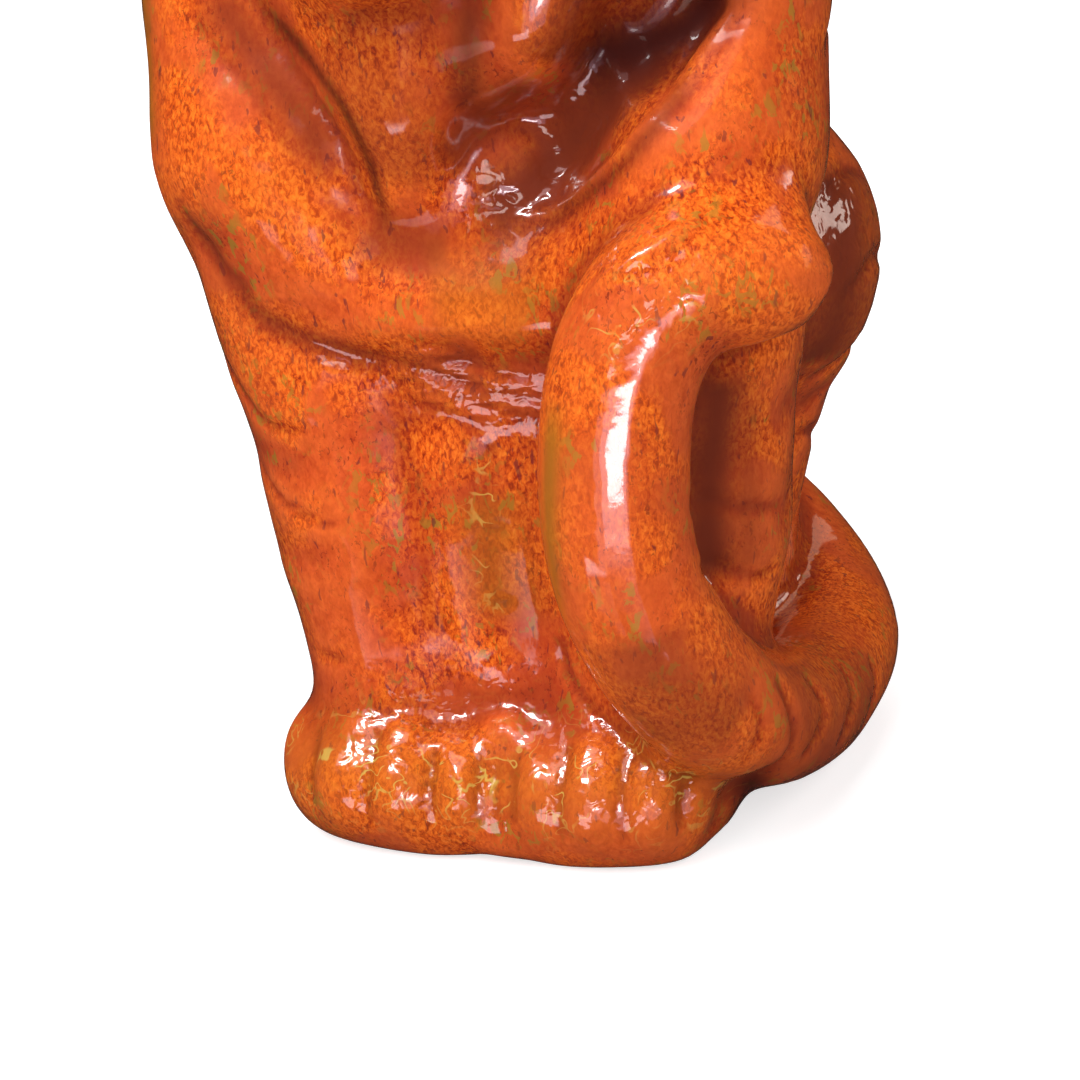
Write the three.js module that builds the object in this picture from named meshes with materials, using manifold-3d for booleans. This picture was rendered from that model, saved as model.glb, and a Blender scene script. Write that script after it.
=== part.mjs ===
// A seated tiger of glazed ceramic, slip-cast in one piece: trunk, head, four legs and a tail
// that comes round the left side, crosses the left paw and leans its end on the left arm.
// Millimetres, +Z up. The tiger looks along -Y, so its left side, where the tail lies, is +X.
// It is modelled about its own middle plane, x = 0, and then moved so that the origin is
// under the middle of its outer box, on the surface that it stands on.
import * as THREE from 'three';
import { mergeVertices } from 'three/addons/utils/BufferGeometryUtils.js';
import Module from 'manifold-3d';

const wasm = await Module();
wasm.setup();

// Orange-red lustrous glaze
const GLAZE_COLOUR = '#c4501f';
const GLAZE_ROUGHNESS = 0.12;

// Height of the crown of the head without the ears, and how far back the upright middle line
// of the body stands at the foot and at the crown
const CROWN_HEIGHT = 202;
const AXIS_BACK_AT_FOOT = -2;
const AXIS_BACK_AT_CROWN = -22;

// The clay masses of the body. A limb is a tapering round bar, its two ends given as
// side, back, up and radius; a ball is given by its middle and its three half sizes.
// Sides are counted from the middle plane, and a paired mass stands on both sides.
const LIMBS = [
    { name: 'rump to back', from: [0, 17, 30, 29], to: [0, 8, 90, 35], blend: 10 },
    { name: 'back to shoulders', from: [0, 8, 90, 35], to: [0, -10, 136, 33], blend: 10 },
    { name: 'neck', from: [0, -10, 136, 33], to: [0, -18, 156, 28], blend: 10 },
    { name: 'shoulder', from: [33.5, -25, 129, 19.5], to: [30.5, -29, 106, 19.5], blend: 8, paired: true },
    { name: 'upper arm', from: [30.5, -29, 106, 19.5], to: [14, -33, 85, 14], blend: 8, paired: true },
    { name: 'forearm', from: [28, -28, 86, 18.5], to: [22.5, -29, 50, 16.3], blend: 6, paired: true },
    { name: 'ankle', from: [22.5, -29, 50, 16.3], to: [19.4, -30, 18, 14.6], blend: 5, paired: true },
    { name: 'web between the forelegs', from: [0, -26, 86, 17], to: [0, -27, 12, 15], blend: 9 },
    { name: 'rim between the paws', from: [-9, -41.5, 8, 8.2], to: [9, -41.5, 8, 8.2], blend: 6 },
    { name: 'right toe rim', from: [-9, -41.5, 8.2, 8.4], to: [-28, -38.5, 8.2, 8.4], blend: 6 },
    { name: 'left toe rim', from: [9, -41.5, 8.2, 8.4], to: [24.5, -39.5, 8.2, 8.4], blend: 6 },
    { name: 'shin', from: [33, 12, 68, 9.5], to: [22, 14, 42, 9.5], blend: 8, paired: true },
    { name: 'outer side of the left forearm', from: [28.3, -26, 84, 18.5], to: [25.6, -26, 50, 16.2], blend: 4 },
    { name: 'outer side of the left ankle', from: [25.6, -26, 50, 16.2], to: [21.8, -28, 18, 14.6], blend: 4 },
];
const BALLS = [
    { name: 'breast', at: [0, -36, 83], size: [15, 11, 9], blend: 8 },
    { name: 'right paw', at: [-19, -36, 10.5], size: [18.8, 17, 11.5], blend: 7 },
    { name: 'left paw', at: [17.4, -36, 10.5], size: [17.2, 17, 11.5], blend: 7 },
    { name: 'knee', at: [32.5, 5, 83], size: [17.5, 22, 23], blend: 6, paired: true },
    { name: 'hind foot', at: [22, -4, 8], size: [10.5, 20, 9], blend: 8, paired: true },
    { name: 'thigh', at: [12, 23, 28], size: [14, 24, 25], blend: 8, paired: true },
    { name: 'seat', at: [0, 10, 7], size: [31, 33, 12], blend: 8 },
    { name: 'bib, broad right lobe', at: [-6, -41, 136], size: [19, 11, 16], blend: 5 },
    { name: 'bib, right lobe', at: [-6, -39, 120], size: [15, 12, 16], blend: 4 },
    { name: 'bib, point of the right lobe', at: [-6.8, -40, 106.5], size: [7.6, 7, 9.5], blend: 4 },
    { name: 'bib, middle', at: [7, -38.5, 128], size: [9, 11.3, 15], blend: 4 },
    { name: 'floor of the hollow', at: [3, -30, 102], size: [15, 12.5, 14], blend: 5 },
    { name: 'bib, left lobe', at: [16, -41, 129], size: [10, 10, 14.5], blend: 4 },
];

// The head, built up in the same way, and turned a little to the right of the tiger
const HEAD_TURN = THREE.MathUtils.degToRad(-9);
const HEAD_BALLS = [
    { name: 'skull', at: [0, -22, 168], size: [43, 36, 34], blend: 10 },
    { name: 'cheek ruff', at: [31, -31, 149], size: [18, 16, 21], blend: 8, paired: true },
    { name: 'muzzle', at: [0, -55, 152], size: [11, 17, 12], blend: 8 },
    { name: 'whisker pad', at: [9, -59, 150], size: [11, 12, 10.5], blend: 6, paired: true },
    { name: 'nose', at: [0, -68, 159], size: [7, 6, 5], blend: 4 },
    { name: 'chin', at: [0, -52, 141], size: [11, 12, 9], blend: 6 },
    { name: 'brow', at: [15, -50, 177], size: [12, 8, 6.5], blend: 7, paired: true },
    { name: 'bridge of the nose', at: [0, -56, 167], size: [8, 12, 9], blend: 8 },
];

// Grooves pressed into the clay along a line of points, given as side, back and up
const GROOVES = [
    {
        name: 'valley on the right of the bib', depth: 2.2, width: 4,
        line: [[-38, -36, 142], [-32, -43, 131], [-21.5, -47, 118], [-15, -47, 107], [-10, -45, 98]],
    },
    {
        name: 'hollow on the left of the bib', depth: 8, width: 8,
        line: [[38, -36, 136], [31, -41, 124], [22, -42, 112], [15, -41, 106]],
    },
    {
        name: 'between the lobes of the bib', depth: 1.4, width: 3,
        line: [[10, -52, 134], [7.5, -49, 122], [3, -44, 112]],
    },
    {
        name: 'under the right upper arm', depth: 2.4, width: 3.5,
        line: [[-48, -30, 104], [-39, -46, 97], [-33, -46, 89], [-26, -46, 82], [-13, -45, 78], [0, -44, 76]],
    },
    {
        name: 'under the left upper arm', depth: 2.4, width: 4,
        line: [[46, -20, 91], [40, -44, 80], [24, -47, 77], [0, -44, 76]],
    },
    {
        name: 'high stripe on the foreleg', depth: 1.4, width: 3, paired: true,
        line: [[45, -25, 68], [36, -42, 62], [28, -45, 61]],
    },
    {
        name: 'low stripe on the foreleg', depth: 1.4, width: 3, paired: true,
        line: [[42, -25, 52], [33, -42, 48], [25, -45, 47]],
    },
];

// The tail comes from behind, lies round the left haunch, crosses the left paw and
// stands up in front of the left leg, where its end rests on the upper arm
const TAIL_RADIUS = 11;
const TAIL_ROUTE = [
    [0, 30, 33],
    [14, 41, 29],
    [25.5, 38, 19.5],
    [34.8, 23, 13],
    [36.3, 4, 11.3],
    [36.6, -13, 13.5],
    [36, -30, 19],
    [34.5, -44, 27],
    [30.5, -51, 37],
    [26.5, -54, 50],
    [26, -54, 66],
    [28, -52.5, 79],
    [33, -50, 88.5],
    [41, -46, 92],
    [47.5, -41, 88],
    [50, -38.5, 83],
];
const TAIL_RINGS = 48;
const TAIL_SIDES = 14;
const TAIL_POINT = 0.02;

// Toes, four to a paw, from the inner one outward, each given as side, front and half width
const TOES = [
    [-4, -54, 5.4],
    [-14, -55.2, 5.9],
    [-24, -54, 5.8],
    [-33.4, -47.5, 4.9],
    [8.3, -54.2, 4.6],
    [17, -55.4, 6],
    [26.3, -53.5, 5.2],
    [32, -47.8, 4.4],
];
const TOE_LENGTH = 9.5;
const TOE_RISE = 9.4;
const TOE_HEIGHT = 11.4;
const TOE_FACETS = [12, 8];

// Ears, set on the crown, with a hollow pressed into the front
const EAR_PLACE = [27, -14, 196];
const EAR_SIZE = [13, 6.5, 14];
const EAR_HOLLOW = [8.5, 5, 9.5];
const EAR_FACETS = [12, 9];

// How finely the body is faceted. The facets are closer together in front, and at the feet
// and the crown, than behind and at mid height.
const BODY_SEGMENTS = 60;
const BODY_RINGS = 50;
const FRONT_BUNCHING = 0.42;
const END_BUNCHING = 0.45;

// How the skin is found: from this far out, inward in steps, and then by halving the last step
const SEARCH_RADIUS = 90;
const SEARCH_STEP = 1.5;
const HALVINGS = 12;
const LEAST_RADIUS = 0.5;
const WELD_DISTANCE = 0.001;

// Distance from a point to a tapering round bar
function limbDistance(x, y, z, { from, to }) {
    const dx = to[0] - from[0];
    const dy = to[1] - from[1];
    const dz = to[2] - from[2];
    const along = (x - from[0]) * dx + (y - from[1]) * dy + (z - from[2]) * dz;
    const t = THREE.MathUtils.clamp(along / (dx * dx + dy * dy + dz * dz), 0, 1);
    const gap = Math.hypot(x - from[0] - dx * t, y - from[1] - dy * t, z - from[2] - dz * t);
    return gap - THREE.MathUtils.lerp(from[3], to[3], t);
}

// Distance from a point to an ellipsoid, near enough for finding its surface
function ballDistance(x, y, z, { at, size }) {
    const u = (x - at[0]) / size[0];
    const v = (y - at[1]) / size[1];
    const w = (z - at[2]) / size[2];
    const reach = Math.hypot(u, v, w);
    const slope = Math.hypot(u / size[0], v / size[1], w / size[2]);
    return slope === 0 ? -Math.min(...size) : reach * (reach - 1) / slope;
}

// Two masses pressed together, with the joint smoothed over the given width
function blended(a, b, width) {
    const overlap = Math.max(width - Math.abs(a - b), 0);
    return Math.min(a, b) - overlap * overlap / (4 * width);
}

// Distance from a point to the whole body, less than nothing inside it
function bodyDistance(x, y, z) {
    let distance = Infinity;
    for (const limb of LIMBS) {
        const gap = limbDistance(limb.paired ? Math.abs(x) : x, y, z, limb);
        distance = distance === Infinity ? gap : blended(distance, gap, limb.blend);
    }
    for (const ball of BALLS) {
        distance = blended(distance, ballDistance(ball.paired ? Math.abs(x) : x, y, z, ball), ball.blend);
    }
    const [headX, headY] = turnedToHead(x, y);
    for (const ball of HEAD_BALLS) {
        const side = ball.paired ? Math.abs(headX) : headX;
        distance = blended(distance, ballDistance(side, headY, z, ball), ball.blend);
    }
    for (const groove of GROOVES) {
        const gap = lineDistance(groove.paired ? Math.abs(x) : x, y, z, groove.line);
        distance += groove.depth * Math.exp(-((gap / groove.width) ** 2));
    }
    return distance;
}

// Distance from a point to a line through several points
function lineDistance(x, y, z, line) {
    let nearest = Infinity;
    for (let i = 1; i < line.length; i += 1) {
        const [from, to] = [line[i - 1], line[i]];
        nearest = Math.min(nearest, limbDistance(x, y, z, { from: [...from, 0], to: [...to, 0] }));
    }
    return nearest;
}

// A point of the figure in the head's own frame, before the head is turned
function turnedToHead(x, y) {
    const back = y - AXIS_BACK_AT_CROWN;
    const cos = Math.cos(HEAD_TURN);
    const sin = Math.sin(HEAD_TURN);
    return [x * cos + back * sin, AXIS_BACK_AT_CROWN - x * sin + back * cos];
}

// The outermost point of the body in one direction from its middle line
function surfaceRadius(axisBack, angle, height) {
    const side = Math.sin(angle);
    const back = -Math.cos(angle);
    let outer = SEARCH_RADIUS;
    const distanceAt = (radius) => bodyDistance(side * radius, axisBack + back * radius, height);
    while (outer > 0 && distanceAt(outer) > 0) {
        outer -= SEARCH_STEP;
    }
    let inner = outer;
    outer += SEARCH_STEP;
    for (let i = 0; i < HALVINGS; i += 1) {
        const middle = (inner + outer) / 2;
        if (distanceAt(middle) > 0) {
            outer = middle;
        } else {
            inner = middle;
        }
    }
    return Math.max(inner, LEAST_RADIUS);
}

// A closed skin over rings of points, with a point at each end
function closedSkin(rings, bottom, top) {
    const segments = rings[0].length;
    const positions = [...rings.flat(2), ...bottom, ...top];
    const bottomIndex = rings.length * segments;
    const topIndex = bottomIndex + 1;
    const faces = [];
    for (let s = 0; s < segments; s += 1) {
        const next = (s + 1) % segments;
        faces.push(bottomIndex, next, s);
        for (let r = 0; r < rings.length - 1; r += 1) {
            const low = r * segments;
            const high = low + segments;
            faces.push(low + s, low + next, high + next, low + s, high + next, high + s);
        }
        const last = (rings.length - 1) * segments;
        faces.push(last + s, last + next, topIndex);
    }
    const geometry = new THREE.BufferGeometry();
    geometry.setAttribute('position', new THREE.Float32BufferAttribute(positions, 3));
    geometry.setIndex(faces);
    return geometry;
}

// Trunk, head and legs, as one skin of level rings round the middle line
function bodyGeometry() {
    const rings = [];
    for (let r = 0; r < BODY_RINGS; r += 1) {
        const part = r / BODY_RINGS;
        const height = CROWN_HEIGHT * (part - END_BUNCHING * Math.sin(2 * Math.PI * part) / (2 * Math.PI));
        const axisBack = THREE.MathUtils.lerp(AXIS_BACK_AT_FOOT, AXIS_BACK_AT_CROWN, height / CROWN_HEIGHT);
        const ring = [];
        for (let s = 0; s < BODY_SEGMENTS; s += 1) {
            const even = 2 * Math.PI * s / BODY_SEGMENTS;
            const angle = even - FRONT_BUNCHING * Math.sin(even);
            const radius = surfaceRadius(axisBack, angle, height);
            ring.push([Math.sin(angle) * radius, axisBack - Math.cos(angle) * radius, height]);
        }
        rings.push(ring);
    }
    const bottom = [0, AXIS_BACK_AT_FOOT, 0];
    const top = [0, AXIS_BACK_AT_CROWN, CROWN_HEIGHT];
    return closedSkin(rings, bottom, top);
}

// The tail, a round bar swept along its route, with a domed end
function tailGeometry() {
    const route = new THREE.CatmullRomCurve3(TAIL_ROUTE.map((point) => new THREE.Vector3(...point)));
    const frames = route.computeFrenetFrames(TAIL_RINGS);
    const length = route.getLength();
    const rings = [];
    for (let r = 0; r <= TAIL_RINGS; r += 1) {
        const part = r / TAIL_RINGS;
        const centre = route.getPointAt(part);
        const toEnd = Math.min(part, 1 - part) * length;
        const inCap = THREE.MathUtils.clamp(toEnd / TAIL_RADIUS, TAIL_POINT, 1);
        const radius = TAIL_RADIUS * Math.sqrt(1 - (1 - inCap) ** 2);
        const ring = [];
        for (let s = 0; s < TAIL_SIDES; s += 1) {
            const angle = 2 * Math.PI * s / TAIL_SIDES;
            const point = centre.clone();
            point.addScaledVector(frames.normals[r], radius * Math.cos(angle));
            point.addScaledVector(frames.binormals[r], radius * Math.sin(angle));
            ring.push(point.toArray());
        }
        rings.push(ring);
    }
    return closedSkin(rings, route.getPointAt(0).toArray(), route.getPointAt(1).toArray());
}

function ellipsoid(size, at, facets) {
    return new THREE.SphereGeometry(1, ...facets).scale(...size).translate(...at);
}

// A closed geometry as a solid that can be joined and cut
function solid(geometry) {
    const bare = geometry.clone();
    bare.deleteAttribute('normal');
    bare.deleteAttribute('uv');
    const merged = mergeVertices(bare, WELD_DISTANCE);
    return new wasm.Manifold(new wasm.Mesh({
        numProp: 3,
        vertProperties: new Float32Array(merged.attributes.position.array),
        triVerts: new Uint32Array(merged.index.array),
    }));
}

function geometryOf(body) {
    const mesh = body.getMesh();
    const geometry = new THREE.BufferGeometry();
    geometry.setAttribute('position', new THREE.BufferAttribute(mesh.vertProperties, 3));
    geometry.setIndex(new THREE.BufferAttribute(mesh.triVerts, 1));
    return geometry;
}

function toeGeometry([side, front, halfWidth]) {
    const size = [halfWidth, TOE_LENGTH, TOE_RISE];
    return ellipsoid(size, [side, front + TOE_LENGTH, TOE_HEIGHT], TOE_FACETS);
}

// One ear, turned with the head
function earGeometry(hand) {
    const [side, back, up] = EAR_PLACE;
    const shell = solid(ellipsoid(EAR_SIZE, [hand * side, back, up], EAR_FACETS));
    const hollow = solid(ellipsoid(EAR_HOLLOW, [hand * side, back - EAR_SIZE[1], up + 1], EAR_FACETS));
    const turned = geometryOf(shell.subtract(hollow));
    turned.translate(0, -AXIS_BACK_AT_CROWN, 0).rotateZ(HEAD_TURN).translate(0, AXIS_BACK_AT_CROWN, 0);
    return turned;
}

let tiger = solid(bodyGeometry()).add(solid(tailGeometry()));
for (const toe of TOES) {
    tiger = tiger.add(solid(toeGeometry(toe)));
}
for (const hand of [-1, 1]) {
    tiger = tiger.add(solid(earGeometry(hand)));
}

const glaze = new THREE.MeshStandardMaterial({ color: GLAZE_COLOUR, roughness: GLAZE_ROUGHNESS, metalness: 0 });
const figure = new THREE.Mesh(geometryOf(tiger), glaze);
figure.name = 'tiger';
const box = new THREE.Box3().setFromObject(figure);
figure.position.set(-(box.min.x + box.max.x) / 2, -(box.min.y + box.max.y) / 2, -box.min.z);

const group = new THREE.Group();
group.add(figure);
export default group;
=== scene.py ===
import math

import bpy
import numpy as np
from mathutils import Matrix, Quaternion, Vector
from mathutils.bvhtree import BVHTree


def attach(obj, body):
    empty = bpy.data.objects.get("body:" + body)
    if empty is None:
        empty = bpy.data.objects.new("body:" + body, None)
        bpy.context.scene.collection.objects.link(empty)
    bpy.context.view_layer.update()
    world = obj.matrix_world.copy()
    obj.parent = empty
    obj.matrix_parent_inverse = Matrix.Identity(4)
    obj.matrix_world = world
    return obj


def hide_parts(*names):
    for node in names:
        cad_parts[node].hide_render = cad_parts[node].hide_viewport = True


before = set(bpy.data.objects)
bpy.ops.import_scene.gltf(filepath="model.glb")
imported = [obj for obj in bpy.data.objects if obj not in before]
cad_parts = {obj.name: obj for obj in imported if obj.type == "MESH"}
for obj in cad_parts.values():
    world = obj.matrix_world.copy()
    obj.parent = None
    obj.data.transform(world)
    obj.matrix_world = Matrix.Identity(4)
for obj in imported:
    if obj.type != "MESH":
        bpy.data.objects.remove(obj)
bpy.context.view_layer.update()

# The tiger, cast
# The figure is one slip-cast piece of clay, hollow inside. Here it starts from the cast blank,
# whose facets are rubbed down, and whose bib, whisker pads, eyes and nose are pressed on as soft clay.
MM = 0.001
MIDDLE_TO_FRAME = np.array([-1.667, 10.536, 0.0])
HEAD_TURN = math.radians(-9)
NECK_BACK = -22.0
BLANK_VOXEL = 1.7
BLANK_RUBBING = 8
SKIN_VOXEL = 1.07
SKIN_RUBBING = 3
EYE = (14.2, -54.6, 170.0)
EYE_SIZE = (5.8, 5.2, 5.0)
NOSE_PAD = (0.0, -71.0, 160.5)
NOSE_PAD_SIZE = (6.0, 3.2, 3.4)


def in_frame(point):
    """Millimetres from the tiger's own middle plane, as a place in the frame in metres."""
    return Vector((np.array(point, float) + MIDDLE_TO_FRAME) * MM)


def on_head(point):
    """A point of the head, turned with it a little towards the tiger's right."""
    side, back, up = point
    back -= NECK_BACK
    turned_side = math.cos(HEAD_TURN) * side - math.sin(HEAD_TURN) * back
    turned_back = math.sin(HEAD_TURN) * side + math.cos(HEAD_TURN) * back
    return (turned_side, turned_back + NECK_BACK, up)


def fuse(piece, voxel):
    """Makes one closed skin of all that has been pressed together in a piece."""
    bpy.ops.object.select_all(action="DESELECT")
    piece.select_set(True)
    bpy.context.view_layer.objects.active = piece
    piece.data.remesh_voxel_size = voxel * MM
    piece.data.remesh_voxel_adaptivity = 0
    bpy.ops.object.voxel_remesh()


def rub_down(piece, passes):
    """Smooths a piece all over, as a damp sponge does."""
    bpy.context.view_layer.objects.active = piece
    modifier = piece.modifiers.new("rub", "SMOOTH")
    modifier.factor = 0.5
    modifier.iterations = passes
    bpy.ops.object.modifier_apply(modifier=modifier.name)


def press_on(piece, ball_place, ball_size, turn=0.0):
    """Adds a ball of clay, flattened to three half sizes, to a piece."""
    bpy.ops.object.select_all(action="DESELECT")
    bpy.ops.mesh.primitive_uv_sphere_add(segments=32, ring_count=20, radius=MM)
    ball = bpy.context.object
    ball.scale = ball_size
    ball.rotation_euler = (0, 0, turn)
    ball.location = in_frame(ball_place)
    bpy.ops.object.transform_apply(location=True, rotation=True, scale=True)
    piece.select_set(True)
    bpy.context.view_layer.objects.active = piece
    bpy.ops.object.join()


ADDED_CLAY = {
    "right lobe of the bib": ((-6, -38, 122), (15, 13.3, 15)),
    "its tip": ((-7.8, -40.2, 104.5), (5.8, 6.2, 7.2)),
    "between the lobes": ((7, -38.5, 128), (9, 12, 15)),
    "floor of the hollow": ((3, -30, 102), (15, 12.5, 14)),
    "between the forelegs": ((-2, -37, 52), (17, 6.4, 36)),
    "right whisker pad": (on_head((-7.5, -63.5, 152.5)), (8.2, 8, 7)),
    "left whisker pad": (on_head((7.5, -63.5, 152.5)), (8.2, 8, 7)),
    "bridge of the nose": (on_head((0, -60, 166)), (6.2, 9.5, 9)),
    "behind the toes": ((2.5, -41, 16.5), (10, 7.5, 7)),
    "rim between the paws": ((2.5, -43.6, 5.5), (12, 8.2, 5.5)),
}
TAIL_JOIN = ((31.5, -55.3, 95.3), (34.9, -53.3, 97.8), (38.6, -49.8, 100), (42.1, -46.3, 101),
             (45.4, -43.5, 100.6), (48.6, -39.4, 98.8))
TAIL_JOIN_SIZE = (3.9, 3.9, 3.9)

tiger = bpy.data.objects.new("tiger_figurine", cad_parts["tiger"].data.copy())
bpy.context.scene.collection.objects.link(tiger)
for place, size in ADDED_CLAY.values():
    press_on(tiger, place, size)
for place in TAIL_JOIN:
    press_on(tiger, place, TAIL_JOIN_SIZE)
fuse(tiger, BLANK_VOXEL)
rub_down(tiger, BLANK_RUBBING)
for side in (-1, 1):
    press_on(tiger, on_head((side * EYE[0], EYE[1], EYE[2])), EYE_SIZE, HEAD_TURN)
press_on(tiger, on_head(NOSE_PAD), NOSE_PAD_SIZE, HEAD_TURN)
fuse(tiger, SKIN_VOXEL)
rub_down(tiger, SKIN_RUBBING)
bpy.ops.object.select_all(action="DESELECT")
tiger.select_set(True)
bpy.context.view_layer.objects.active = tiger
bpy.ops.object.shade_smooth()

# The tiger, tooled
# While the clay is leather-hard the folds, toes, stripes and face are cut and pressed in with a
# modelling tool. Each stroke follows the skin through a few points given in millimetres.
STROKE_STEP = 0.35

skin = np.empty(len(tiger.data.vertices) * 3)
tiger.data.vertices.foreach_get("co", skin)
skin = skin.reshape(-1, 3) / MM - MIDDLE_TO_FRAME
ties = np.empty(len(tiger.data.edges) * 2, dtype=np.int32)
tiger.data.edges.foreach_get("vertices", ties)
ties = ties.reshape(-1, 2)
tie_count = np.bincount(ties.ravel(), minlength=len(skin))[:, None]
facing = None
surface = None


def neighbours(values):
    """The mean of each skin point's neighbours, for one value or place a point."""
    total = np.empty_like(values)
    for axis in range(values.shape[1]):
        column = values[:, axis]
        total[:, axis] = np.bincount(ties[:, 0], column[ties[:, 1]], len(values))
        total[:, axis] += np.bincount(ties[:, 1], column[ties[:, 0]], len(values))
    return total / tie_count


def look_again():
    """Gives the mesh its tooled shape, and reads which way it now faces."""
    global facing, surface
    tiger.data.vertices.foreach_set("co", ((skin + MIDDLE_TO_FRAME) * MM).ravel())
    tiger.data.update()
    facing = np.empty(len(skin) * 3)
    tiger.data.vertices.foreach_get("normal", facing)
    facing = facing.reshape(-1, 3)
    bpy.context.view_layer.update()
    surface = BVHTree.FromObject(tiger, bpy.context.evaluated_depsgraph_get())


def smooth_route(knots):
    """A smooth curve through a few points."""
    knots = np.array(knots, float)
    knots = np.vstack([2 * knots[0] - knots[1], knots, 2 * knots[-1] - knots[-2]])
    spans = []
    for start in range(1, len(knots) - 2):
        a, b, c, d = knots[start - 1:start + 3]
        count = max(2, int(np.linalg.norm(c - b) / STROKE_STEP))
        t = np.linspace(0, 1, count, endpoint=False)[:, None]
        bend = (2 * a - 5 * b + 4 * c - d) * t ** 2 + (3 * b - a - 3 * c + d) * t ** 3
        spans.append(0.5 * (2 * b + (c - a) * t + bend))
    spans.append(knots[-2:-1])
    return np.vstack(spans)


def lay_on_skin(route):
    """The nearest places on the skin to a curve, and which way the skin faces there."""
    places = []
    facings = []
    for point in route:
        place, normal, _, _ = surface.find_nearest(in_frame(point))
        places.append(np.array(place) / MM - MIDDLE_TO_FRAME)
        facings.append(normal)
    return np.array(places), np.array(facings)


def stroke_reach(knots, width, ends):
    """The skin points by a stroke, how far off each lies, on which side, and how hard it is pressed."""
    places, facings = lay_on_skin(smooth_route(knots))
    reach = 2.6 * width
    inside = (skin > places.min(0) - reach) & (skin < places.max(0) + reach)
    near = np.where(inside.all(1))[0]
    spread = (skin[near] ** 2).sum(1)[:, None] + (places ** 2).sum(1) - 2 * skin[near] @ places.T
    closest = spread.argmin(1)
    distance = np.sqrt(np.maximum(spread[np.arange(len(near)), closest], 0))
    travel = np.gradient(places, axis=0)
    across = np.cross(facings, travel)
    across /= np.maximum(np.linalg.norm(across, axis=1), 1e-9)[:, None]
    side = ((skin[near] - places[closest]) * across[closest]).sum(1)
    same_way = (facing[near] * facings[closest]).sum(1)
    pressure = np.clip((same_way + 0.1) / 0.5, 0, 1)
    if ends > 0:
        along = closest / max(1, len(places) - 1)
        pressure *= np.clip(along / ends, 0, 1) ** 0.7 * np.clip((1 - along) / ends, 0, 1) ** 0.7
    return near, distance, side, pressure


def carve(knots, depth, width, ends=0.25, crisp=False):
    """Presses a groove along a route, or raises a ridge where the depth is below zero."""
    near, distance, _, pressure = stroke_reach(knots, width, ends)
    if crisp:
        profile = np.clip(1 - distance / (1.4 * width), 0, 1) ** 1.5
    else:
        profile = np.exp(-(distance / width) ** 2)
    skin[near] -= facing[near] * (depth * profile * pressure)[:, None]


def fold(knots, height, width, ends=0.25):
    """Lifts the skin on the left of a route over the skin on its right."""
    near, distance, side, pressure = stroke_reach(knots, width, ends)
    profile = np.exp(-(distance / width) ** 2) * np.tanh(2.2 * side / width)
    skin[near] += facing[near] * (height * profile * pressure)[:, None]


def soften(knots, width, passes, ends=0.0):
    """Smooths the skin along a route, as a wet brush fills a join."""
    near, distance, _, pressure = stroke_reach(knots, width, ends)
    share = np.zeros((len(skin), 1))
    share[near, 0] = np.exp(-(distance / width) ** 2) * pressure
    for _ in range(passes):
        skin[:] += (neighbours(skin) - skin) * share * 0.6


def mirrored(knots):
    """The same route on both sides of the tiger."""
    return [[(side * x, y, z) for x, y, z in knots] for side in (-1, 1)]


def on_face(spots):
    """A route over the front of the head, from points given across and up."""
    route = []
    ahead = Vector(on_head((0, 1, 0))) - Vector(on_head((0, 0, 0)))
    for across, up in spots:
        start = in_frame(on_head((across, -130, up)))
        place, _, _, _ = surface.ray_cast(start, ahead)
        route.append(np.array(place) / MM - MIDDLE_TO_FRAME)
    return route


def on_back(spots):
    """A route over the tiger's back, from points given across and up."""
    route = []
    for across, up in spots:
        place, _, _, _ = surface.ray_cast(in_frame((across, 130, up)), Vector((0, -1, 0)))
        route.append(np.array(place) / MM - MIDDLE_TO_FRAME)
    return route


def on_flank(side, spots):
    """A route over one side of the tiger, from points given back and up."""
    route = []
    for back, up in spots:
        place, _, _, _ = surface.ray_cast(in_frame((side * 130, back, up)), Vector((-side, 0, 0)))
        route.append(np.array(place) / MM - MIDDLE_TO_FRAME)
    return route


look_again()

# Breast and shoulders
carve([(-35, -42, 136), (-31, -42.5, 129), (-27, -43.5, 122.5), (-22.5, -44, 117), (-18.7, -44.5, 112),
       (-16.2, -44.5, 107), (-14.3, -44, 102.5)], -0.6, 3.4, 0.15)
soften([(-33, -42, 134), (-29.5, -43, 127), (-25, -44, 120), (-20.5, -44.5, 113), (-17, -44.5, 106)], 5.0, 14)
soften([(-13, -45.5, 95.5), (-5, -44.5, 93.5), (5, -44, 93.5), (14, -44.5, 96)], 6.0, 30)
look_again()
carve([(-30, -41, 136), (-26.3, -42.2, 130.6), (-21.5, -43, 121.6), (-18.7, -43.1, 118.6), (-15.4, -43.3, 114.7),
       (-13.8, -43.4, 110.4), (-13.3, -43.1, 106.4), (-12.1, -42.2, 102.4), (-10.8, -41.7, 98.3)],
      0.9, 1.1, 0.12, True)
soften([(-37.9, -42.2, 131), (-33.4, -44.9, 124.1), (-27.9, -46, 118.4), (-24.5, -47, 113.2), (-18.5, -45.7, 103.2)],
       3.5, 10)
look_again()
carve([(-37.9, -42.2, 131), (-33.4, -44.9, 124.1), (-27.9, -46, 118.4), (-24.5, -47, 113.2), (-20.9, -46.6, 108.3)],
      0.3, 1.1, 0.2)
carve([(-42, -45.5, 103), (-40.5, -44, 97), (-37.8, -43.6, 93), (-34.8, -44, 89.5), (-31.8, -44.5, 85),
       (-27.2, -44.5, 82), (-21, -44.4, 80), (-15, -43.6, 78.3), (-10, -43.6, 78)], 0.8, 1.9, 0.2)
carve([(40, -36, 131), (33, -38.5, 124), (25, -39, 120)], 3.0, 6.0, 0.2)
carve([(30, -41, 119), (26, -40, 114), (20, -38.5, 107), (13, -36, 101.5)], 1.0, 3.0, 0.3)
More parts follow.
